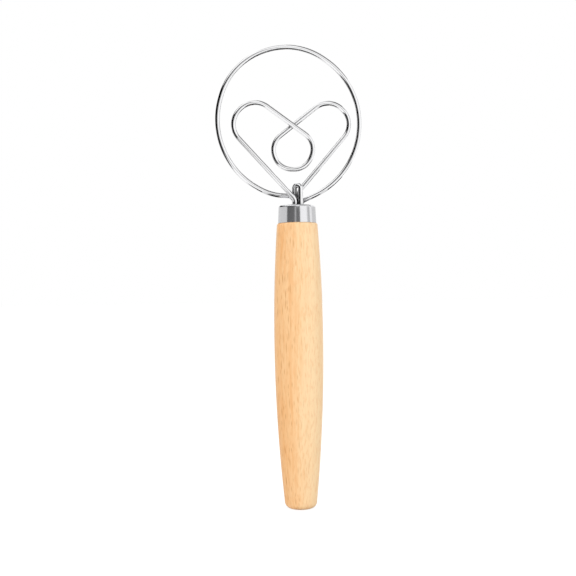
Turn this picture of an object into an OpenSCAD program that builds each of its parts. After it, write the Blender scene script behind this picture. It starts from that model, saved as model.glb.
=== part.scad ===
// Dough whisk: three bent steel wires set in a turned wooden handle, with a drawn steel ferrule over the joint.
// Millimetres. The origin is the centre of the flat butt face, +Z runs up the handle to the ring,
// the ring lies in the XZ plane and its front looks along -Y.

/* [Handle] */
// Length of the turned handle from its butt face to the shoulder under the ferrule
handle_len = 141.1; // [90:0.1:220]
// Largest diameter, at the belly, which the other thicknesses follow
belly_d = 24.3; // [18:0.1:36]
// Height of the belly over the butt face, as a part of the handle's length
belly_at = 0.589; // [0.4:0.001:0.75]
// How much thinner the handle is at the shoulder than at the belly, on each side
shoulder_drop = 2.1; // [0.3:0.05:4]
// How much thinner the handle is at the butt than at the belly, on each side
butt_drop = 4.45; // [0.3:0.05:6]
// Rounding of the shoulder's edge
shoulder_round = 0.9; // [0.2:0.1:3]
// Rounding of the butt's edge
butt_round = 3.2; // [0.2:0.1:5]
// Depth of the drilled socket that takes the wire ends, from the end of the tenon to the drill's shoulder
socket_depth = 35; // [15:0.5:60]
// Included angle of the drill's point
drill_angle = 118; // [90:1:150]

/* [Ferrule] */
// Height of the ferrule
ferrule_h = 8.75; // [5:0.05:16]
// How far the wood's shoulder stands proud of the ferrule
ferrule_step = 0.55; // [0.2:0.05:1.5]
// How much narrower the ferrule is at its closed end, on each side
ferrule_draft = 0.4; // [0:0.05:1]
// Sheet thickness
ferrule_t = 0.6; // [0.3:0.05:1.2]
// Inside rounding where the wall turns into the top
ferrule_round = 0.4; // [0.2:0.1:1.2]
// Clearance of the ferrule over the tenon, on the shoulder and under the top
ferrule_gap = 0.05; // [0.02:0.01:0.2]
// Clearance round the wire bundle in the hole of the top
bundle_gap = 0.2; // [0.1:0.05:0.5]

/* [Wires] */
// Wire diameter
wire_d = 2.4; // [1.6:0.1:3.4]
// Clearance between wires that lie side by side or cross
wire_gap = 0.05; // [0.03:0.01:0.2]
// Clearance of the set adhesive round each wire end and in the socket
glue_gap = 0.07; // [0.05:0.01:0.15]
// How far the wire ends stop short of the socket's end
end_gap = 1; // [0.3:0.1:3]
// Spare width between the two wires of the front row
front_slack = 0.29; // [0:0.01:1]
// Spare width between the two wires of the back row
back_slack = 0.53; // [0:0.01:1]
// Offset of the front row from the axis
front_x = 0.47; // [-0.6:0.01:0.6]
// Offset of the middle row from the axis
middle_x = 0.085; // [-0.6:0.005:0.6]
// Offset of the back row from the axis
back_x = 0.35; // [-0.6:0.01:0.6]

/* [Outer ring] */
// Bend radius of the ring's sides, which every other size of the wire head follows
ring_r = 38.75; // [28:0.05:50]
// Bend radius of the ring's crown, as a part of the side radius
crown_part = 0.865; // [0.7:0.005:0.98]
// Bend radius at the foot of the ring's left side, as a part of the side radius
foot_part = 0.671; // [0.5:0.001:0.98]
// Side offset of the foot's centre, in ring radii
foot_at = -0.1378; // [-0.2:0.0001:-0.05]
// Side offset of the left side's centre, in ring radii
ring_left_at = -0.0038; // [-0.1:0.0001:0.1]
// Side offset of the right side's centre, in ring radii
ring_right_at = -0.1858; // [-0.3:0.0001:-0.05]
// Straight between two arcs of the ring
ring_straight = 0.9; // [0.7:0.1:3]
// Bend radius where the ring leaves the bundle on the left
ring_left_bend = 3.4; // [1.9:0.1:5]
// Height of that bend over the ferrule
ring_left_rise = 1.75; // [0.2:0.05:3]
// Straight from that bend to the foot of the ring's left side
ring_left_lead = 3; // [1:0.1:8]
// Bend radius where the ring leaves the bundle on the right
ring_right_bend = 3.2; // [1.9:0.1:6]
// Height of that bend over the ferrule
ring_right_rise = 0.15; // [-0.6:0.05:2]
// Straight from that bend to the ring's right side
ring_right_lead = 4.9; // [1:0.1:8]

/* [Inner loop] */
// Bend radius of the left lobe
left_lobe_r = 10.66; // [7:0.01:14]
// Side offset of the left lobe's centre, in ring radii
left_lobe_x = -0.52; // [-0.6:0.001:-0.3]
// Height of the left lobe's centre over the ferrule, in ring radii
left_lobe_z = 1.0465; // [0.9:0.0001:1.2]
// Bend radius of the right lobe
right_lobe_r = 10.37; // [7:0.01:14]
// Side offset of the right lobe's centre, in ring radii
right_lobe_x = 0.4135; // [0.3:0.0005:0.6]
// Height of the right lobe's centre over the ferrule, in ring radii
right_lobe_z = 1.0444; // [0.9:0.0001:1.2]
// Bend radius of the round loop in the middle
loop_r = 9.7; // [6:0.1:12]
// Side offset of the middle loop's centre, in ring radii
loop_x = -0.0385; // [-0.1:0.0005:0.1]
// Height of the middle loop's centre over the ferrule, in ring radii
loop_z = 0.7168; // [0.6:0.0001:0.85]
// Bend radius where the inner wire leaves the bundle on the left
inner_left_bend = 4.5; // [2:0.1:8]
// Height of that bend over the ferrule
inner_left_rise = 1.45; // [0.2:0.05:6]
// Bend radius where the inner wire leaves the bundle on the right
inner_right_bend = 4.8; // [2:0.1:8]
// Height of that bend over the ferrule
inner_right_rise = 5.55; // [3:0.05:9]

/* [Hairpin] */
// Height of the hairpin over the ferrule, to the inside of its bend, as the peg sets it
hairpin_h = 8.8; // [4.6:0.1:13.6]

/* [Hidden] */
$fn = 48;
// Largest turn that is bent in one piece
bend_step = 88;
// Straight left between two bends round one centre
bend_straight = 0.6;
// Straights run this far into the bends, and are this much thinner all round, so that they join without a seam
lap = 0.1;
core = 0.01;
// Chords per rounding and per half of the handle's curve
round_steps = 8;
curve_steps = 24;

handle_r = belly_d/2;
belly_h = belly_at*handle_len;
low_curve = curve_r(butt_drop, belly_h);
high_curve = curve_r(shoulder_drop, handle_len - belly_h);
ferrule_r = handle_r - shoulder_drop - ferrule_step;
ferrule_top_r = ferrule_r - ferrule_draft;
ferrule_z = handle_len + ferrule_gap;
ferrule_top = ferrule_z + ferrule_h;
plate_z = ferrule_top - ferrule_t;
tenon_top = plate_z - ferrule_gap;
socket_z = tenon_top - socket_depth;
wire_z = socket_z + end_gap;
taper = ferrule_draft/ferrule_h;

// The bundle is two wires wide and three rows deep
pitch = wire_d + wire_gap;
front_y = -pitch;
back_y = pitch;
inner_left_x = front_x - (pitch + front_slack)/2;
hairpin_right_x = front_x + (pitch + front_slack)/2;
hairpin_left_x = middle_x - pitch/2;
inner_right_x = middle_x + pitch/2;
ring_left_x = back_x - (pitch + back_slack)/2;
ring_right_x = back_x + (pitch + back_slack)/2;
legs = [[inner_left_x, front_y], [hairpin_right_x, front_y],
        [hairpin_left_x, 0], [inner_right_x, 0],
        [ring_left_x, back_y], [ring_right_x, back_y]];
bundle_r = max([for (leg = legs) norm(leg)]) + wire_d/2 + bundle_gap;

// The two crossing strands of the inner wire lie half a pitch in front of and behind the ring's plane
cross_y = pitch/2;

// A curve of this radius leaves the belly level with the axis and falls by drop over length
function curve_r(drop, length) = (length*length + drop*drop)/(2*drop);
// Points on an arc from angle a to angle b
function arc(x, z, r, a, b, n) = [for (i = [0:n]) [x + r*cos(a + (b - a)*i/n), z + r*sin(a + (b - a)*i/n)]];
// Distance from the axis of a rounding's centre, where the curve ends in a flat face
function round_x(curve, f, length) = handle_r - curve + sqrt(pow(curve - f, 2) - pow(length - f, 2));

// A peg is [x, z, bend radius, side, first depth, last depth]: side 1 turns the wire left, -1 turns it right.
// Heading of the straight that touches pegs a and b
function heading(a, b) =
    atan2(b[1] - a[1], b[0] - a[0])
    - asin((b[3]*b[2] - a[3]*a[2])/norm([b[0] - a[0], b[1] - a[1]]));
// Turn from one heading to the next on the given side
function swing(h0, h1, side) = side*(h1 - h0) - 360*floor(side*(h1 - h0)/360);
// Corners [x, y, z, bend radius] of the bends round peg b
function peg_corners(a, b, c) =
    let (h = heading(a, b), t = swing(h, heading(b, c), b[3]), n = ceil(t/bend_step), half = t/n/2)
    [for (k = [0:n - 1])
        let (m = h + b[3]*(2*k + 1)*half, out = b[3]*b[2]/cos(half))
        [b[0] + out*sin(m),
         n == 1 ? b[4] : b[4] + (b[5] - b[4])*k/(n - 1),
         b[1] - out*cos(m),
         n == 1 ? b[2] : b[2] - bend_straight/2/tan(half)]];
// All corners of a wire that runs from the first peg, round the others, to the last
function wire_corners(pegs) = [
    [pegs[0][0], pegs[0][4], pegs[0][1], 0],
    for (i = [1:len(pegs) - 2]) each peg_corners(pegs[i - 1], pegs[i], pegs[i + 1]),
    [pegs[len(pegs) - 1][0], pegs[len(pegs) - 1][4], pegs[len(pegs) - 1][1], 0]];

function unit(v) = v/norm(v);
function at(corners, i) = [corners[i][0], corners[i][1], corners[i][2]];
function way(corners, i) = unit(at(corners, i + 1) - at(corners, i));
function turn(corners, i) = acos(way(corners, i - 1)*way(corners, i));
// Length that the bend at a corner takes from each straight
function reach(corners, i) = corners[i][3] == 0 ? 0 : corners[i][3]*tan(turn(corners, i)/2);
// Where a straight starts or ends, just inside the bend beside it
function inset(corners, i) = reach(corners, i) == 0 ? 0 : reach(corners, i) - lap;

// Centre at x of an arc of the ring, so that the straight up to it from the bend of radius r round bend has the
// length lead, with r below 0 where both turn the wire to the same side
function arc_centre(x, arc_r, bend, r, lead) =
    [x, bend[1] + sqrt(pow(arc_r + r, 2) + lead*lead - pow(x - bend[0], 2))];

// Sets its children at o, with their X axis along x and their Y axis along y
module frame(o, x, y) {
    z = cross(x, y);
    multmatrix([[x[0], y[0], z[0], o[0]],
                [x[1], y[1], z[1], o[1]],
                [x[2], y[2], z[2], o[2]],
                [0, 0, 0, 1]])
        children();
}

// The straight from corner i to the next
module straight(corners, i) {
    u = way(corners, i);
    a = at(corners, i) + u*inset(corners, i);
    b = at(corners, i + 1) - u*inset(corners, i + 1);
    side = unit(cross(u, abs(u[1]) < 0.9 ? [0, 1, 0] : [1, 0, 0]));
    frame(a, side, cross(u, side))
        cylinder(d = wire_d - 2*core, h = norm(b - a));
}

// The bend at corner i
module bend(corners, i) {
    u = way(corners, i - 1);
    v = way(corners, i);
    n = unit(v - u*(u*v));
    r = corners[i][3];
    frame(at(corners, i) - u*reach(corners, i) + n*r, -n, u)
        rotate_extrude(angle = turn(corners, i))
            translate([r, 0])
                circle(d = wire_d);
}

// A wire bent at the given corners
module bent_wire(corners) {
    for (i = [0:len(corners) - 2])
        straight(corners, i);
    for (i = [1:len(corners) - 2])
        bend(corners, i);
}

// Handle: one turned piece of wood, with a tenon for the ferrule and a drilled socket for the wires
module handle() {
    low_x = round_x(low_curve, butt_round, belly_h);
    low_a = asin((belly_h - butt_round)/(low_curve - butt_round));
    high_x = round_x(high_curve, shoulder_round, handle_len - belly_h);
    high_a = asin((handle_len - belly_h - shoulder_round)/(high_curve - shoulder_round));
    tenon_r = ferrule_r - ferrule_t - ferrule_gap;
    tenon_end_r = tenon_r - taper*(tenon_top - handle_len);
    chamfer = ferrule_round + ferrule_gap;
    color([0.95, 0.79, 0.58])
        rotate_extrude()
            polygon(concat(
                [[0, 0]],
                arc(low_x, butt_round, butt_round, -90, -low_a, round_steps),
                arc(handle_r - low_curve, belly_h, low_curve, -low_a, 0, curve_steps),
                arc(handle_r - high_curve, belly_h, high_curve, high_a/curve_steps, high_a, curve_steps - 1),
                arc(high_x, handle_len - shoulder_round, shoulder_round, high_a, 90, round_steps),
                [[tenon_r, handle_len],
                 [tenon_end_r, tenon_top - chamfer],
                 [tenon_end_r - chamfer, tenon_top],
                 [bundle_r, tenon_top],
                 [bundle_r, socket_z],
                 [0, socket_z - bundle_r/tan(drill_angle/2)]]));
}

// Ferrule: a cap drawn from steel sheet, pressed over the tenon, with a hole for the wires
module ferrule() {
    lean = atan(taper);
    outer_round = ferrule_round + ferrule_t;
    round_z = ferrule_top - outer_round;
    // the rounding touches the leaning wall and the flat top
    round_at = ferrule_top_r + taper*outer_round - outer_round/cos(lean);
    color([0.8, 0.8, 0.8])
        rotate_extrude()
            polygon(concat(
                [[ferrule_r, ferrule_z]],
                arc(round_at, round_z, outer_round, lean, 90, round_steps),
                [[bundle_r, ferrule_top],
                 [bundle_r, plate_z]],
                arc(round_at, round_z, ferrule_round, 90, lean, round_steps),
                [[ferrule_r - ferrule_t/cos(lean), ferrule_z]]));
}

// Outer ring: one wire, bent to a round ring with both ends down in the socket
module outer_ring() {
    left_bend = [ring_left_x - ring_left_bend, ferrule_top + ring_left_rise];
    right_bend = [ring_right_x + ring_right_bend, ferrule_top + ring_right_rise];
    foot_r = ring_r*foot_part;
    foot = arc_centre(foot_at*ring_r, foot_r, left_bend, ring_left_bend, ring_left_lead);
    left = arc_centre(ring_left_at*ring_r, ring_r, foot, -foot_r, ring_straight);
    right = arc_centre(ring_right_at*ring_r, ring_r, right_bend, ring_right_bend, ring_right_lead);
    crown_r = ring_r*crown_part;
    // the crown's centre lies above the two others, as far from each as the radii differ
    across = right - left;
    up = sqrt(pow(ring_r - crown_r, 2) + pow(ring_straight, 2) - across*across/4);
    crown = (left + right)/2 + up*unit([across[1], -across[0]]);
    color([0.78, 0.78, 0.79])
        bent_wire(wire_corners([
            [ring_left_x, wire_z, 0, 1, back_y],
            [left_bend[0], left_bend[1], ring_left_bend, 1, back_y, back_y],
            [foot[0], foot[1], foot_r, -1, back_y*2/3, back_y*2/3],
            [left[0], left[1], ring_r, -1, 0, 0],
            [crown[0], crown[1], crown_r, -1, 0, 0],
            [right[0], right[1], ring_r, -1, 0, 0],
            [right_bend[0], right_bend[1], ring_right_bend, 1, back_y, back_y],
            [ring_right_x, wire_z, 0, 1, back_y]]));
}

// Inner loop: one wire, bent to two lobes with a round loop between them, where it crosses itself
module inner_loop() {
    color([0.78, 0.78, 0.79])
        bent_wire(wire_corners([
            [inner_left_x, wire_z, 0, 1, front_y],
            [inner_left_x - inner_left_bend, ferrule_top + inner_left_rise, inner_left_bend, 1, front_y, front_y],
            [left_lobe_x*ring_r, ferrule_top + left_lobe_z*ring_r, left_lobe_r, -1, -cross_y, -cross_y],
            [loop_x*ring_r, ferrule_top + loop_z*ring_r, loop_r, -1, -cross_y, cross_y],
            [right_lobe_x*ring_r, ferrule_top + right_lobe_z*ring_r, right_lobe_r, -1, cross_y, cross_y],
            [inner_right_x + inner_right_bend, ferrule_top + inner_right_rise, inner_right_bend, 1, 0, 0],
            [inner_right_x, wire_z, 0, 1, 0]]));
}

// Hairpin: one short wire, doubled over in the middle of the bundle
module hairpin() {
    right = [hairpin_right_x, front_y];
    left = [hairpin_left_x, 0];
    r = (norm(right - left) - bend_straight)/2;
    top = ferrule_top + hairpin_h + wire_d/2;
    color([0.78, 0.78, 0.79])
        bent_wire([
            [right[0], right[1], wire_z, 0],
            [right[0], right[1], top, r],
            [left[0], left[1], top, r],
            [left[0], left[1], wire_z, 0]]);
}

// Adhesive: the set resin that fills the socket round the six wire ends
module adhesive() {
    plug_r = bundle_r - glue_gap;
    color([0.86, 0.8, 0.66])
        difference() {
            rotate_extrude()
                polygon([
                    [0, socket_z - bundle_r/tan(drill_angle/2) + glue_gap/sin(drill_angle/2)],
                    [plug_r, socket_z + glue_gap*tan(45 - drill_angle/4)],
                    [plug_r, tenon_top],
                    [0, tenon_top]]);
            for (leg = legs)
                translate([leg[0], leg[1], wire_z - glue_gap])
                    cylinder(d = wire_d + 2*glue_gap, h = tenon_top - wire_z + 1);
        }
}

handle();
ferrule();
outer_ring();
inner_loop();
hairpin();
adhesive();
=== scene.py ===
from math import asin, atan2, ceil, cos, hypot, pi, radians, sin, sqrt, tan

import bpy
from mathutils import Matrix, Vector


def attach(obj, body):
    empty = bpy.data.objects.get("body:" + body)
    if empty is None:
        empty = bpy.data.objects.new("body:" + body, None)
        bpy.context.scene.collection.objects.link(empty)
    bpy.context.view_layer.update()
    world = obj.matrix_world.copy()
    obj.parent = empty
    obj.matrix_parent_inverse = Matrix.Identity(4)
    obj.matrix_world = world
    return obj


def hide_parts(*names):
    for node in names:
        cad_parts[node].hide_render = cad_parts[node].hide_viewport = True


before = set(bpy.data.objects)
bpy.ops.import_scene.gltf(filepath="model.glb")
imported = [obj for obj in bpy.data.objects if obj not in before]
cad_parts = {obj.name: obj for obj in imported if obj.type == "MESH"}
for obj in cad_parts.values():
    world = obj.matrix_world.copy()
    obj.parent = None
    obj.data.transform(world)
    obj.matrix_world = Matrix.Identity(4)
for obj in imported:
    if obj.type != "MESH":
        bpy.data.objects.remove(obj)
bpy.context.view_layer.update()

# Handle: one turned piece of rubberwood under a thin clear lacquer. It was turned to a long barrel on the lathe,
# with a tenon at the top for the ferrule and a drilled socket that takes the six wire ends. Sizes are in millimetres.
MM = 0.001
HANDLE_LENGTH = 141.1
BELLY_RADIUS = 12.15
BELLY_HEIGHT = 0.589*HANDLE_LENGTH
BUTT_DROP = 4.45
SHOULDER_DROP = 2.1
BUTT_ROUNDING = 3.2
SHOULDER_ROUNDING = 0.9
FERRULE_STEP = 0.55
FERRULE_DRAFT = 0.4
FERRULE_HEIGHT = 8.75
FERRULE_SHEET = 0.6
FERRULE_ROUNDING = 0.4
FIT = 0.05
SOCKET_DEPTH = 35
DRILL_ANGLE = radians(118)
WIRE_RADIUS = 1.2
PITCH = 2*WIRE_RADIUS + FIT
BUNDLE_CLEARANCE = 0.2
TURNED_SIDES = 128
CURVE_STEPS = 24
EDGE_STEPS = 10
DRILL_TIP_RADIUS = 0.01

# The three rows of the wire bundle, each with the place of its middle and how far its two wires stand apart.
FRONT_ROW = (0.47, 0.29)
MIDDLE_ROW = (0.085, 0.0)
BACK_ROW = (0.35, 0.53)


def pair(row):
    middle, slack = row
    half = (PITCH + slack)/2
    return middle - half, middle + half


inner_left_x, hairpin_right_x = pair(FRONT_ROW)
hairpin_left_x, inner_right_x = pair(MIDDLE_ROW)
ring_left_x, ring_right_x = pair(BACK_ROW)
bundle_radius = hypot(hairpin_right_x, PITCH) + WIRE_RADIUS + BUNDLE_CLEARANCE
ferrule_radius = BELLY_RADIUS - SHOULDER_DROP - FERRULE_STEP
ferrule_top = HANDLE_LENGTH + FIT + FERRULE_HEIGHT
tenon_top = ferrule_top - FERRULE_SHEET - FIT
socket_end = tenon_top - SOCKET_DEPTH
taper = FERRULE_DRAFT/FERRULE_HEIGHT


def arc(centre_r, centre_z, radius, start, end, steps):
    angles = [start + (end - start)*i/steps for i in range(steps + 1)]
    return [(centre_r + radius*cos(a), centre_z + radius*sin(a)) for a in angles]


def curve_radius(drop, length):
    return (length*length + drop*drop)/(2*drop)


def rounding_centre(curve, rounding, length):
    return BELLY_RADIUS - curve + sqrt((curve - rounding)**2 - (length - rounding)**2)


def turned(name, profile, sides, closed_ring=False):
    """A solid of revolution, drawn up ring by ring from a circle as on a lathe."""
    weld, smooth_below = 0.002*MM, radians(28)
    bpy.ops.object.select_all(action="DESELECT")
    radius, height = profile[0]
    bpy.ops.mesh.primitive_circle_add(
        vertices=sides, radius=radius*MM, location=(0, 0, height*MM),
        fill_type="NOTHING" if closed_ring else "NGON")
    piece = bpy.context.object
    piece.name = name
    bpy.ops.object.transform_apply(location=True)
    bpy.ops.object.mode_set(mode="EDIT")
    bpy.ops.mesh.select_all(action="SELECT")
    for next_radius, next_height in profile[1:]:
        extrude = bpy.ops.mesh.extrude_edges_move if closed_ring else bpy.ops.mesh.extrude_region_move
        extrude(TRANSFORM_OT_translate={"value": (0, 0, (next_height - height)*MM)})
        scale = next_radius/radius
        bpy.ops.transform.resize(value=(scale, scale, 1), center_override=(0, 0, next_height*MM))
        radius, height = next_radius, next_height
    bpy.ops.mesh.select_all(action="SELECT")
    bpy.ops.mesh.remove_doubles(threshold=weld)
    bpy.ops.mesh.normals_make_consistent(inside=False)
    bpy.ops.object.mode_set(mode="OBJECT")
    bpy.ops.object.shade_smooth_by_angle(angle=smooth_below)
    return piece


low_curve = curve_radius(BUTT_DROP, BELLY_HEIGHT)
high_length = HANDLE_LENGTH - BELLY_HEIGHT
high_curve = curve_radius(SHOULDER_DROP, high_length)
low_angle = asin((BELLY_HEIGHT - BUTT_ROUNDING)/(low_curve - BUTT_ROUNDING))
high_angle = asin((high_length - SHOULDER_ROUNDING)/(high_curve - SHOULDER_ROUNDING))
tenon_radius = ferrule_radius - FERRULE_SHEET - FIT
tenon_end_radius = tenon_radius - taper*(tenon_top - HANDLE_LENGTH)
tenon_chamfer = FERRULE_ROUNDING + FIT
handle_profile = (
    arc(rounding_centre(low_curve, BUTT_ROUNDING, BELLY_HEIGHT), BUTT_ROUNDING, BUTT_ROUNDING, -pi/2, -low_angle,
        EDGE_STEPS)
    + arc(BELLY_RADIUS - low_curve, BELLY_HEIGHT, low_curve, -low_angle, 0, CURVE_STEPS)[1:]
    + arc(BELLY_RADIUS - high_curve, BELLY_HEIGHT, high_curve, 0, high_angle, CURVE_STEPS)[1:]
    + arc(rounding_centre(high_curve, SHOULDER_ROUNDING, high_length), HANDLE_LENGTH - SHOULDER_ROUNDING,
          SHOULDER_ROUNDING, high_angle, pi/2, EDGE_STEPS)[1:]
    + [(tenon_radius, HANDLE_LENGTH),
       (tenon_end_radius, tenon_top - tenon_chamfer),
       (tenon_end_radius - tenon_chamfer, tenon_top),
       (bundle_radius, tenon_top),
       (bundle_radius, socket_end),
       (DRILL_TIP_RADIUS, socket_end - bundle_radius/tan(DRILL_ANGLE/2))])
handle = turned("handle_turned", handle_profile, TURNED_SIDES)


def linear(hex_colour):
    """An sRGB hex colour as the linear colour that shaders take."""
    channels = [int(hex_colour[i:i + 2], 16)/255 for i in (1, 3, 5)]
    return tuple(c/12.92 if c <= 0.04045 else ((c + 0.055)/1.055)**2.4 for c in channels) + (1,)


def add(tree, kind, inputs=(), **settings):
    """A node with its settings, and its inputs set to values or linked to other nodes' outputs."""
    node = tree.nodes.new(kind)
    for key, value in settings.items():
        setattr(node, key, value)
    for socket, value in dict(inputs).items():
        if isinstance(value, bpy.types.NodeSocket):
            tree.links.new(value, node.inputs[socket])
        else:
            node.inputs[socket].default_value = value
    return node


def new_material(name):
    material = bpy.data.materials.new(name)
    material.use_nodes = True
    material.node_tree.nodes.clear()
    return material, material.node_tree


# Lacquered rubberwood: darker honey at the left running into cream at the right, partly the wood's own tone and partly
# painted shade on the side away from the key lamp, with soft streaks along the grain and the open pores that the lathe
# cuts to short dashes, shortest near the ends where the surface runs across the fibres.
rubberwood, tree = new_material("lacquered_rubberwood")
place = add(tree, "ShaderNodeTexCoord").outputs["Object"]
# the fibres wander up to 0.8 mm sideways in about 30 mm of length
wander = add(tree, "ShaderNodeTexNoise", {
    "Vector": add(tree, "ShaderNodeMapping", {"Vector": place, "Scale": (1000/25, 1000/25, 1000/30)}).outputs[0],
    "Scale": 1.0, "Detail": 1.0})
drift = add(tree, "ShaderNodeVectorMath", {0: wander.outputs["Color"], 1: (1.6*MM, 1.6*MM, 0.0), 2: place},
            operation="MULTIPLY_ADD").outputs[0]


# each pattern's cells, in millimetres across the grain and along it
patterns = {}
for name, kind, across, along, settings in (
        ("bands", "ShaderNodeTexNoise", 6, 110, {"Detail": 2.0}),
        ("streaks", "ShaderNodeTexNoise", 1.5, 30, {"Detail": 3.0, "Roughness": 0.6}),
        ("flecks", "ShaderNodeTexNoise", 0.8, 3.5, {"Detail": 2.0}),
        ("long pores", "ShaderNodeTexVoronoi", 1.3, 10, {}),
        ("short pores", "ShaderNodeTexVoronoi", 0.9, 5, {})):
    stretched = add(tree, "ShaderNodeMapping", {"Vector": drift, "Scale": (1000/across, 1000/across, 1000/along)})
    patterns[name] = add(tree, kind, {"Vector": stretched.outputs[0], "Scale": 1.0, **settings})
side = add(tree, "ShaderNodeSeparateXYZ", {0: place})

# how strong each pattern is: it goes from the fifth value to the sixth as its source goes from the third to the fourth
parts = {}
for name, source, low, high, first, last in (
        # the side part darkens the left of the handle: painted shade on the side away from the key lamp, on top of the
        # wood's own tone
        ("side", side.outputs["X"], -0.0095, 0.0050, 0.0, 0.75),
        ("bands", patterns["bands"].outputs["Fac"], 0.35, 0.65, 0.0, 0.25),
        ("streaks", patterns["streaks"].outputs["Fac"], 0.40, 0.70, 0.0, 0.50),
        ("flecks", patterns["flecks"].outputs["Fac"], 0.45, 0.70, 0.0, 0.35),
        ("long pores", patterns["long pores"].outputs["Distance"], 0.08, 0.35, 0.75, 0.0),
        ("short pores", patterns["short pores"].outputs["Distance"], 0.08, 0.39, 0.62, 0.0),
        ("roughness", patterns["streaks"].outputs["Fac"], 0.3, 0.7, 0.42, 0.55)):
    parts[name] = add(tree, "ShaderNodeMapRange", {
        "Value": source, "From Min": low, "From Max": high, "To Min": first, "To Max": last},
        interpolation_type="SMOOTHSTEP").outputs[0]

# the tone goes from darker honey at the left to cream at the right, partly the wood's own tone and partly painted
# shade, and the figure is stronger where the tone is darker
FIGURE_STRENGTH = 1.25
tone_with_side_shade = add(tree, "ShaderNodeMath", {0: parts["side"], 1: parts["bands"]}, operation="ADD").outputs[0]
dark_tone_part = add(tree, "ShaderNodeMath", {0: FIGURE_STRENGTH, 1: tone_with_side_shade}, operation="SUBTRACT").outputs[0]
streak_part = add(tree, "ShaderNodeMath", {0: parts["streaks"], 1: dark_tone_part}, operation="MULTIPLY").outputs[0]
wood = linear("#FAC386")
for part, colour in ((tone_with_side_shade, "#FFDEAE"), (streak_part, "#F0AA62"), (parts["flecks"], "#F0B06F")):
    wood = add(tree, "ShaderNodeMix", {0: part, 6: wood, 7: linear(colour)}, data_type="RGBA").outputs[2]
pore = None
for name in ("long pores", "short pores"):
    dark = add(tree, "ShaderNodeMath", {0: parts[name], 1: dark_tone_part}, operation="MULTIPLY").outputs[0]
    pick = add(tree, "ShaderNodeSeparateColor", {0: patterns[name].outputs["Color"]}).outputs[0]
    dark = add(tree, "ShaderNodeMath", {0: dark, 1: pick}, operation="MULTIPLY").outputs[0]
    wood = add(tree, "ShaderNodeMix", {0: dark, 6: wood, 7: linear("#D08F4C")}, data_type="RGBA").outputs[2]
    pore = dark if pore is None else add(tree, "ShaderNodeMath", {0: pore, 1: dark}, operation="MAXIMUM").outputs[0]
pore_depth = add(tree, "ShaderNodeMath", {0: pore, 1: -1.0}, operation="MULTIPLY")
relief = add(tree, "ShaderNodeBump", {"Height": pore_depth.outputs[0], "Strength": 0.2, "Distance": 0.05*MM})
lacquered = add(tree, "ShaderNodeBsdfPrincipled", {
    "Base Color": wood, "Roughness": parts["roughness"], "Normal": relief.outputs[0],
    "IOR": 1.5, "Coat Weight": 0.25, "Coat Roughness": 0.3})
add(tree, "ShaderNodeOutputMaterial", {"Surface": lacquered.outputs[0]})
handle.data.materials.append(rubberwood)
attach(handle, "root")
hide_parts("handle")

# Ferrule: a cap drawn from 0.6 mm stainless steel sheet and polished, pressed over the tenon down to the wood's
# shoulder. Its closed end has a round hole that the bundle of wires passes through.
lean = atan2(taper, 1)
outer_rounding = FERRULE_ROUNDING + FERRULE_SHEET
rounding_r = ferrule_radius - FERRULE_DRAFT + taper*outer_rounding - outer_rounding/cos(lean)
rounding_z = ferrule_top - outer_rounding
EASED = 0.08
OUTER_EDGE_STEPS = 14
INNER_EDGE_STEPS = 8
ferrule_profile = (
    [(ferrule_radius, HANDLE_LENGTH + FIT + EASED)]
    + arc(rounding_r, rounding_z, outer_rounding, lean, pi/2, OUTER_EDGE_STEPS)
    + [(bundle_radius + EASED, ferrule_top), (bundle_radius, ferrule_top - EASED),
       (bundle_radius, ferrule_top - FERRULE_SHEET)]
    + arc(rounding_r, rounding_z, FERRULE_ROUNDING, pi/2, lean, INNER_EDGE_STEPS)
    + [(ferrule_radius - FERRULE_SHEET/cos(lean), HANDLE_LENGTH + FIT),
       (ferrule_radius - EASED, HANDLE_LENGTH + FIT),
       (ferrule_radius, HANDLE_LENGTH + FIT + EASED)])
ferrule = turned("ferrule_cap", ferrule_profile, TURNED_SIDES, closed_ring=True)

# Polished stainless sheet: bright, with the faint upright draw lines that the die leaves.
drawn_steel, tree = new_material("drawn_stainless_sheet")
place = add(tree, "ShaderNodeTexCoord").outputs["Object"]
# draw lines 0.15 mm apart, running up the wall
draw_lines = add(tree, "ShaderNodeTexNoise", {
    "Vector": add(tree, "ShaderNodeMapping", {"Vector": place, "Scale": (1000/0.3, 1000/0.3, 1000/9)}).outputs[0],
    "Scale": 1.0, "Detail": 3.0, "Roughness": 0.6})
sheet_roughness = add(tree, "ShaderNodeMapRange", {"Value": draw_lines.outputs["Fac"], "To Min": 0.10, "To Max": 0.22})
relief = add(tree, "ShaderNodeBump", {"Height": draw_lines.outputs["Fac"], "Strength": 0.12, "Distance": 0.01*MM})
sheet = add(tree, "ShaderNodeBsdfPrincipled", {
    "Base Color": linear("#E6E6E8"), "Metallic": 1.0, "Roughness": sheet_roughness.outputs[0],
    "Normal": relief.outputs[0]})
add(tree, "ShaderNodeOutputMaterial", {"Surface": sheet.outputs[0]})
ferrule.data.materials.append(drawn_steel)
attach(ferrule, "root")
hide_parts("ferrule")

# Outer ring, inner loop and hairpin: three stainless steel wires of 2.4 mm, bent cold round pegs and polished. Their
# six ends stand in the socket as a bundle two wires wide and three rows deep. The ring and the loop fan out above the
# ferrule, and the hairpin stays in the bundle.
RING_RADIUS = 38.75
BEND_STEP = radians(88)
BEND_STRAIGHT = 0.6
WIRE_SIDES = 40
RING_TURN, LOOP_TURN, HAIRPIN_TURN = radians(1.5), radians(4), radians(6)
END_GAP = 1.0
wire_end = socket_end + END_GAP
front_y, back_y, cross_y = -PITCH, PITCH, PITCH/2

# A peg is x, z, bend radius, side, first depth, last depth: side 1 turns the wire left, -1 turns it right.


def heading(a, b):
    return atan2(b[1] - a[1], b[0] - a[0]) - asin((b[3]*b[2] - a[3]*a[2])/hypot(b[0] - a[0], b[1] - a[1]))


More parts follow.
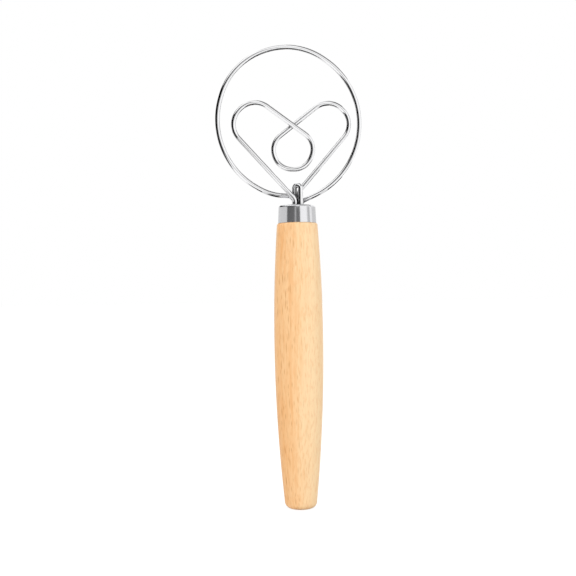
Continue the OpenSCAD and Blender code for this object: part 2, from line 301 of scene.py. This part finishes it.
def peg_corners(a, b, c):
    start = heading(a, b)
    swing = (b[3]*(heading(b, c) - start)) % (2*pi)
    count = ceil(swing/BEND_STEP)
    half = swing/count/2
    corners = []
    for k in range(count):
        middle = start + b[3]*(2*k + 1)*half
        out = b[3]*b[2]/cos(half)
        depth = b[4] if count == 1 else b[4] + (b[5] - b[4])*k/(count - 1)
        radius = b[2] if count == 1 else b[2] - BEND_STRAIGHT/2/tan(half)
        corners.append((Vector((b[0] + out*sin(middle), depth, b[1] - out*cos(middle))), radius))
    return corners


def wire_corners(pegs):
    first, last = pegs[0], pegs[-1]
    corners = [(Vector((first[0], first[4], first[1])), 0)]
    for i in range(1, len(pegs) - 1):
        corners += peg_corners(pegs[i - 1], pegs[i], pegs[i + 1])
    return corners + [(Vector((last[0], last[4], last[1])), 0)]


def bent_wire(name, corners, bend_step):
    """A wire drawn out from a circle: straight lengths are extruded, and bends are spun round their centres."""
    smooth_below = radians(30)
    bpy.ops.object.select_all(action="DESELECT")
    start = corners[0][0]
    bpy.ops.mesh.primitive_circle_add(vertices=WIRE_SIDES, radius=WIRE_RADIUS*MM, location=start*MM)
    piece = bpy.context.object
    piece.name = name
    bpy.ops.object.transform_apply(location=True)
    bpy.ops.object.mode_set(mode="EDIT")
    bpy.ops.mesh.select_all(action="SELECT")
    here = start
    for i in range(1, len(corners)):
        corner, radius = corners[i]
        way = (corner - corners[i - 1][0]).normalized()
        if i == len(corners) - 1:
            bpy.ops.mesh.extrude_edges_move(TRANSFORM_OT_translate={"value": (corner - here)*MM})
            break
        next_way = (corners[i + 1][0] - corner).normalized()
        turn = way.angle(next_way)
        reach = radius*tan(turn/2)
        bend_start = corner - way*reach
        inward = (next_way - way*way.dot(next_way)).normalized()
        bpy.ops.mesh.extrude_edges_move(TRANSFORM_OT_translate={"value": (bend_start - here)*MM})
        bpy.ops.mesh.spin(steps=max(2, ceil(turn/bend_step)), angle=-turn, center=(bend_start + inward*radius)*MM,
                          axis=way.cross(inward))
        here = corner + next_way*reach
    bpy.ops.mesh.select_all(action="SELECT")
    bpy.ops.mesh.region_to_loop()
    bpy.ops.mesh.edge_face_add()
    bpy.ops.mesh.select_all(action="SELECT")
    bpy.ops.mesh.normals_make_consistent(inside=False)
    bpy.ops.object.mode_set(mode="OBJECT")
    bpy.ops.object.shade_smooth_by_angle(angle=smooth_below)
    return piece


def arc_centre(x, arc_radius, bend, radius, lead):
    """Centre of a ring arc at x, so that the straight between it and a bend has the length lead."""
    return x, bend[1] + sqrt((arc_radius + radius)**2 + lead*lead - (x - bend[0])**2)


# where the centres of the ring's arcs stand left of its middle, in ring radii
FOOT_AT, LEFT_AT, RIGHT_AT = -0.1378, -0.0038, -0.1858
FOOT_RADIUS = 0.671*RING_RADIUS
CROWN_RADIUS = 0.865*RING_RADIUS
RING_STRAIGHT = 0.9
LEFT_BEND, LEFT_RISE, LEFT_LEAD = 3.4, 1.75, 3.0
RIGHT_BEND, RIGHT_RISE, RIGHT_LEAD = 3.2, 0.15, 4.9
left_bend = (ring_left_x - LEFT_BEND, ferrule_top + LEFT_RISE)
right_bend = (ring_right_x + RIGHT_BEND, ferrule_top + RIGHT_RISE)
foot = arc_centre(FOOT_AT*RING_RADIUS, FOOT_RADIUS, left_bend, LEFT_BEND, LEFT_LEAD)
left_side = arc_centre(LEFT_AT*RING_RADIUS, RING_RADIUS, foot, -FOOT_RADIUS, RING_STRAIGHT)
right_side = arc_centre(RIGHT_AT*RING_RADIUS, RING_RADIUS, right_bend, RIGHT_BEND, RIGHT_LEAD)
across = Vector(right_side) - Vector(left_side)
up = sqrt((RING_RADIUS - CROWN_RADIUS)**2 + RING_STRAIGHT**2 - across.length_squared/4)
crown = (Vector(left_side) + Vector(right_side))/2 + up*Vector((across.y, -across.x)).normalized()
ring_corners = wire_corners([
    (ring_left_x, wire_end, 0, 1, back_y, back_y),
    (*left_bend, LEFT_BEND, 1, back_y, back_y),
    (*foot, FOOT_RADIUS, -1, back_y*2/3, back_y*2/3),
    (*left_side, RING_RADIUS, -1, 0, 0),
    (*crown, CROWN_RADIUS, -1, 0, 0),
    (*right_side, RING_RADIUS, -1, 0, 0),
    (*right_bend, RIGHT_BEND, 1, back_y, back_y),
    (ring_right_x, wire_end, 0, 1, back_y, back_y)])
ring = bent_wire("outer_ring_wire", ring_corners, RING_TURN)


def head(x, z):
    """A place in the wire head, given in ring radii over the ferrule."""
    return x*RING_RADIUS, ferrule_top + z*RING_RADIUS


LOOP_LEFT_BEND, LOOP_LEFT_RISE = 4.5, 1.45
LOOP_RIGHT_BEND, LOOP_RIGHT_RISE = 4.8, 5.55
LEFT_LOBE_RADIUS, RIGHT_LOBE_RADIUS = 10.66, 10.37
LOOP_RADIUS = 9.7
loop_corners = wire_corners([
    (inner_left_x, wire_end, 0, 1, front_y, front_y),
    (inner_left_x - LOOP_LEFT_BEND, ferrule_top + LOOP_LEFT_RISE, LOOP_LEFT_BEND, 1, front_y, front_y),
    (*head(-0.52, 1.0465), LEFT_LOBE_RADIUS, -1, -cross_y, -cross_y),
    (*head(-0.0385, 0.7168), LOOP_RADIUS, -1, -cross_y, cross_y),
    (*head(0.4135, 1.0444), RIGHT_LOBE_RADIUS, -1, cross_y, cross_y),
    (inner_right_x + LOOP_RIGHT_BEND, ferrule_top + LOOP_RIGHT_RISE, LOOP_RIGHT_BEND, 1, 0, 0),
    (inner_right_x, wire_end, 0, 1, 0, 0)])
loop = bent_wire("inner_loop_wire", loop_corners, LOOP_TURN)

# the hairpin's height is measured to the inside of its bend, as the peg sets it
HAIRPIN_INSIDE = 8.8
hairpin_right = Vector((hairpin_right_x, front_y, wire_end))
hairpin_left = Vector((hairpin_left_x, 0, wire_end))
hairpin_bend = ((hairpin_right - hairpin_left).length - BEND_STRAIGHT)/2
rise = Vector((0, 0, ferrule_top + HAIRPIN_INSIDE + WIRE_RADIUS - wire_end))
hairpin = bent_wire("hairpin_wire", [
    (hairpin_right, 0), (hairpin_right + rise, hairpin_bend), (hairpin_left + rise, hairpin_bend), (hairpin_left, 0)],
    HAIRPIN_TURN)

# Polished stainless wire: almost a mirror, with the slight haze of cold drawing, and painted shade that darkens its
# colour in the narrow places between the wires.
drawn_wire, tree = new_material("polished_stainless_wire")
place = add(tree, "ShaderNodeTexCoord").outputs["Object"]
# haze in patches of about 1.5 mm
haze = add(tree, "ShaderNodeTexNoise", {
    "Vector": add(tree, "ShaderNodeMapping", {"Vector": place, "Scale": (1000/1.5, 1000/1.5, 1000/1.5)}).outputs[0],
    "Scale": 1.0, "Detail": 4.0, "Roughness": 0.6})
wire_roughness = add(tree, "ShaderNodeMapRange", {"Value": haze.outputs["Fac"], "To Min": 0.04, "To Max": 0.12})
relief = add(tree, "ShaderNodeBump", {"Height": haze.outputs["Fac"], "Strength": 0.05, "Distance": 0.02*MM})
# the painted shade starts where other wires stand within about 4 mm
open_part = add(tree, "ShaderNodeAmbientOcclusion", {"Distance": 4*MM}, samples=12).outputs["AO"]
unshaded_part = add(tree, "ShaderNodeMapRange", {
    "Value": open_part, "From Min": 0.30, "From Max": 0.75, "To Min": 0.0, "To Max": 1.0},
    interpolation_type="SMOOTHSTEP").outputs[0]
# painted shade: the steel's colour turns dark grey between the wires, where shade falls
wire_colour_with_painted_shade = add(tree, "ShaderNodeMix", {0: unshaded_part, 6: linear("#4A4A4D"), 7: linear("#F2F2F3")},
                  data_type="RGBA").outputs[2]
wire_steel = add(tree, "ShaderNodeBsdfPrincipled", {
    "Base Color": wire_colour_with_painted_shade, "Metallic": 1.0, "Roughness": wire_roughness.outputs[0],
    "Normal": relief.outputs[0]})
add(tree, "ShaderNodeOutputMaterial", {"Surface": wire_steel.outputs[0]})
for piece, node in ((ring, "outer_ring"), (loop, "inner_loop"), (hairpin, "hairpin")):
    piece.data.materials.append(drawn_wire)
    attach(piece, "root")
    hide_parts(node)

# Adhesive: the set epoxy that fills the socket round the wire ends. It was poured in and set there, cloudy and pale
# amber. No one sees it, so it stays the CAD's own plug.
resin, tree = new_material("set_epoxy")
place = add(tree, "ShaderNodeTexCoord").outputs["Object"]
clouds = add(tree, "ShaderNodeTexNoise", {
    "Vector": add(tree, "ShaderNodeMapping", {"Vector": place, "Scale": (1000/3, 1000/3, 1000/3)}).outputs[0],
    "Scale": 1.0, "Detail": 3.0})
resin_colour = add(tree, "ShaderNodeMix", {0: clouds.outputs["Fac"], 6: linear("#CDB88A"), 7: linear("#E4D6B2")},
                   data_type="RGBA")
set_resin = add(tree, "ShaderNodeBsdfPrincipled", {
    "Base Color": resin_colour.outputs[2], "Roughness": 0.35, "IOR": 1.55})
add(tree, "ShaderNodeOutputMaterial", {"Surface": set_resin.outputs[0]})
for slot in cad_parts["adhesive"].material_slots:
    slot.material = resin

# Studio: a white table and a plain white surround, seen from the photograph's angle, with two large soft lamps.
EYE = (-0.00501, -0.450, 0.10911)
VIEW_WIDTH = 0.2863
ROLL = radians(0.805)
SENSOR = 36.0
camera_data = bpy.data.cameras.new("camera")
camera = bpy.data.objects.new("camera", camera_data)
bpy.context.collection.objects.link(camera)
camera.location = EYE
camera.rotation_euler = (pi/2, ROLL, 0)
camera_data.sensor_width = SENSOR
camera_data.lens = SENSOR*-EYE[1]/VIEW_WIDTH
camera_data.clip_start = 0.01
bpy.context.scene.camera = camera

bpy.ops.object.select_all(action="DESELECT")
TABLE_SIZE = 12
bpy.ops.mesh.primitive_plane_add(size=TABLE_SIZE, location=(0, 0, 0))
table = bpy.context.object
table.name = "table"
white_table, tree = new_material("white_table")
rays = add(tree, "ShaderNodeLightPath")
paint = add(tree, "ShaderNodeBsdfDiffuse", {"Color": (0.8, 0.8, 0.8, 1)})
seen = add(tree, "ShaderNodeMath", {0: rays.outputs["Is Camera Ray"], 1: rays.outputs["Is Glossy Ray"]},
           operation="MAXIMUM")
seen = add(tree, "ShaderNodeMath", {0: seen.outputs[0], 1: rays.outputs["Is Transmission Ray"]}, operation="MAXIMUM")
white = add(tree, "ShaderNodeEmission", {"Color": (1, 1, 1, 1), "Strength": 0.82})
shade = add(tree, "ShaderNodeBsdfDiffuse", {"Color": (0.3, 0.3, 0.3, 1)})
lit = add(tree, "ShaderNodeAddShader", {0: white.outputs[0], 1: shade.outputs[0]})
table_top = add(tree, "ShaderNodeMixShader", {0: seen.outputs[0], 1: paint.outputs[0], 2: lit.outputs[0]})
add(tree, "ShaderNodeOutputMaterial", {"Surface": table_top.outputs[0]})
table.data.materials.append(white_table)
# the steel mirrors the room below as well, so the table stays out of its reflections
table.visible_glossy = False

# What the polished steel mirrors: a white room with a dark doorway at the left, a dark floor and a dim upper corner.
# Azimuth is counted from the front, -Y, to the right; elevation from the level up. Angles are in degrees.
world = bpy.data.worlds.new("studio")
bpy.context.scene.world = world
world.use_nodes = True
tree = world.node_tree
tree.nodes.clear()
way = add(tree, "ShaderNodeSeparateXYZ", {0: add(tree, "ShaderNodeTexCoord").outputs["Generated"]})
forward = add(tree, "ShaderNodeMath", {0: way.outputs["Y"], 1: -1.0}, operation="MULTIPLY")
azimuth = add(tree, "ShaderNodeMath", {0: way.outputs["X"], 1: forward.outputs[0]}, operation="ARCTAN2")
azimuth = add(tree, "ShaderNodeMath", {0: azimuth.outputs[0]}, operation="DEGREES")
elevation = add(tree, "ShaderNodeMath", {0: way.outputs["Z"]}, operation="ARCSINE")
elevation = add(tree, "ShaderNodeMath", {0: elevation.outputs[0]}, operation="DEGREES")
room = add(tree, "ShaderNodeValue")
room.outputs[0].default_value = 1.08
# how wide the soft edge of a patch is, in degrees
EDGE = 5.0
# azimuths where a patch starts and ends, what each gains per degree of elevation, low and high elevation, level
for start, end, start_slant, end_slant, low, high, level in (
        (-117, -1, 0, -0.15, -3, 35, 0.0), (-118, -19, 0.9, 1.45, -30, 1, 0.03), (12, 171, 0.1, 0, 41, 95, 0.26),
        (78, 171, 0, -0.25, -55, -22, 0.0), (94, 139, -0.25, -0.1, -21, 41, 0.28), (146, 190, -0.2, 0, 38, 64, 0.0),
        (-190, -131, 0.8, 0.95, 1, 41, 0.0), (-190, -128, -0.9, -0.8, -25, 19, 0.62),
        (-8, 25, -0.95, -0.5, -11, 11, 0.52), (-190, 190, 0, 0, -99, -48, 0.0), (-190, 38, 0, 0, 71, 99, 0.5)):
    sides = [add(tree, "ShaderNodeMath", {0: elevation.outputs[0], 1: -slant, 2: azimuth.outputs[0]},
                 operation="MULTIPLY_ADD").outputs[0] for slant in (start_slant, end_slant)]
    patch = None
    for value, middle, before, after in (
            (sides[0], start, 0.0, 1.0), (sides[1], end, 1.0, 0.0),
            (elevation.outputs[0], low, 0.0, 1.0), (elevation.outputs[0], high, 1.0, 0.0)):
        part = add(tree, "ShaderNodeMapRange", {
            "Value": value, "From Min": middle - EDGE/2, "From Max": middle + EDGE/2, "To Min": before,
            "To Max": after}, interpolation_type="SMOOTHSTEP").outputs[0]
        patch = part if patch is None else add(
            tree, "ShaderNodeMath", {0: patch, 1: part}, operation="MULTIPLY").outputs[0]
    room = add(tree, "ShaderNodeMix", {0: patch, 2: room.outputs[0], 3: level}, data_type="FLOAT")
rays = add(tree, "ShaderNodeLightPath")
surround = add(tree, "ShaderNodeBackground", {"Color": (1, 1, 1, 1), "Strength": 0.93})
mirrored = add(tree, "ShaderNodeBackground", {"Color": (1, 1, 1, 1), "Strength": room.outputs[0]})
backdrop = add(tree, "ShaderNodeBackground", {"Color": (1, 1, 1, 1), "Strength": 1.0})
indirect = add(tree, "ShaderNodeMixShader", {
    0: rays.outputs["Is Glossy Ray"], 1: surround.outputs[0], 2: mirrored.outputs[0]})
clear = add(tree, "ShaderNodeMath", {0: rays.outputs["Is Camera Ray"], 1: rays.outputs["Is Transmission Ray"]},
            operation="MAXIMUM")
mixed = add(tree, "ShaderNodeMixShader", {0: clear.outputs[0], 1: indirect.outputs[0], 2: backdrop.outputs[0]})
add(tree, "ShaderNodeOutputWorld", {"Surface": mixed.outputs[0]})

# A paper collar that stands round the ferrule, which only the steel mirrors. It gives the wall its upright bands:
# each stop is an azimuth in degrees and the level there.
bpy.ops.object.select_all(action="DESELECT")
COLLAR_RADIUS, COLLAR_HEIGHT, COLLAR_SIDES = 20, 10.7, 96
bpy.ops.mesh.primitive_circle_add(
    vertices=COLLAR_SIDES, radius=COLLAR_RADIUS*MM, location=(0, 0, HANDLE_LENGTH*MM))
collar = bpy.context.object
collar.name = "collar"
bpy.ops.object.transform_apply(location=True)
bpy.ops.object.mode_set(mode="EDIT")
bpy.ops.mesh.select_all(action="SELECT")
bpy.ops.mesh.extrude_edges_move(TRANSFORM_OT_translate={"value": (0, 0, COLLAR_HEIGHT*MM)})
bpy.ops.object.mode_set(mode="OBJECT")
collar_paper, tree = new_material("collar_paper")
way = add(tree, "ShaderNodeSeparateXYZ", {0: add(tree, "ShaderNodeTexCoord").outputs["Object"]})
forward = add(tree, "ShaderNodeMath", {0: way.outputs["Y"], 1: -1.0}, operation="MULTIPLY")
azimuth = add(tree, "ShaderNodeMath", {0: way.outputs["X"], 1: forward.outputs[0]}, operation="ARCTAN2")
turn = add(tree, "ShaderNodeMapRange", {"Value": azimuth.outputs[0], "From Min": -pi, "From Max": pi})
bands = add(tree, "ShaderNodeValToRGB", {0: turn.outputs[0]})
stops = ((-160, 0.95), (-148, 0.75), (-52, 0.71), (-48, 0.13), (-12.5, 0.16), (-10, 0.50), (-6, 0.44), (-3, 0.17),
         (12, 0.18), (15.5, 1.05), (46, 1.07), (51, 0.70), (62, 0.48), (68, 1.0), (79, 0.96), (84, 0.71), (160, 0.72),
         (170, 0.95))
ramp = bands.color_ramp
for stop, (degrees, level) in enumerate(stops):
    mark = ramp.elements[0] if stop == 0 else ramp.elements.new((degrees + 180)/360)
    mark.position = (degrees + 180)/360
    mark.color = (level, level, level, 1)
ramp.elements.remove(ramp.elements[-1])
paper_light = add(tree, "ShaderNodeEmission", {"Color": bands.outputs["Color"], "Strength": 1.0})
add(tree, "ShaderNodeOutputMaterial", {"Surface": paper_light.outputs[0]})
collar.data.materials.append(collar_paper)
collar.visible_camera = collar.visible_diffuse = collar.visible_shadow = collar.visible_transmission = False

# A narrow white card stands behind the head's right side, which only the steel mirrors. It keeps the outer edges of
# the wires there as white as the backdrop.
bpy.ops.object.select_all(action="DESELECT")
CARD_PLACE, CARD_HEIGHT, CARD_WIDTH = (0.050, 0.020, 0.190), 0.090, 0.030
bpy.ops.mesh.primitive_plane_add(size=1, location=CARD_PLACE, rotation=(0, pi/2, 0))
card = bpy.context.object
card.name = "side_card"
card.scale = (CARD_HEIGHT, CARD_WIDTH, 1)
card_paper, tree = new_material("side_card_paper")
card_light = add(tree, "ShaderNodeEmission", {"Color": (1, 1, 1, 1), "Strength": 1.12})
add(tree, "ShaderNodeOutputMaterial", {"Surface": card_light.outputs[0]})
card.data.materials.append(card_paper)
card.visible_camera = card.visible_diffuse = card.visible_shadow = card.visible_transmission = False

# Two large soft lamps light the wood; both stay out of the steel's reflections.
LAMP_AIM = Vector((0, 0, 0.1))
for name, place, size, power in (("key", (0.9, -1.1, 1.0), 1.0, 3.5), ("fill", (-1.0, -1.0, 0.6), 1.2, 4.0)):
    lamp_data = bpy.data.lights.new(name, "AREA")
    lamp_data.size = size
    lamp_data.energy = power
    lamp = bpy.data.objects.new(name, lamp_data)
    bpy.context.collection.objects.link(lamp)
    lamp.location = place
    lamp.rotation_euler = (LAMP_AIM - Vector(place)).to_track_quat("-Z", "Y").to_euler()
    lamp.visible_glossy = False

bpy.context.scene.view_settings.view_transform = "Standard"
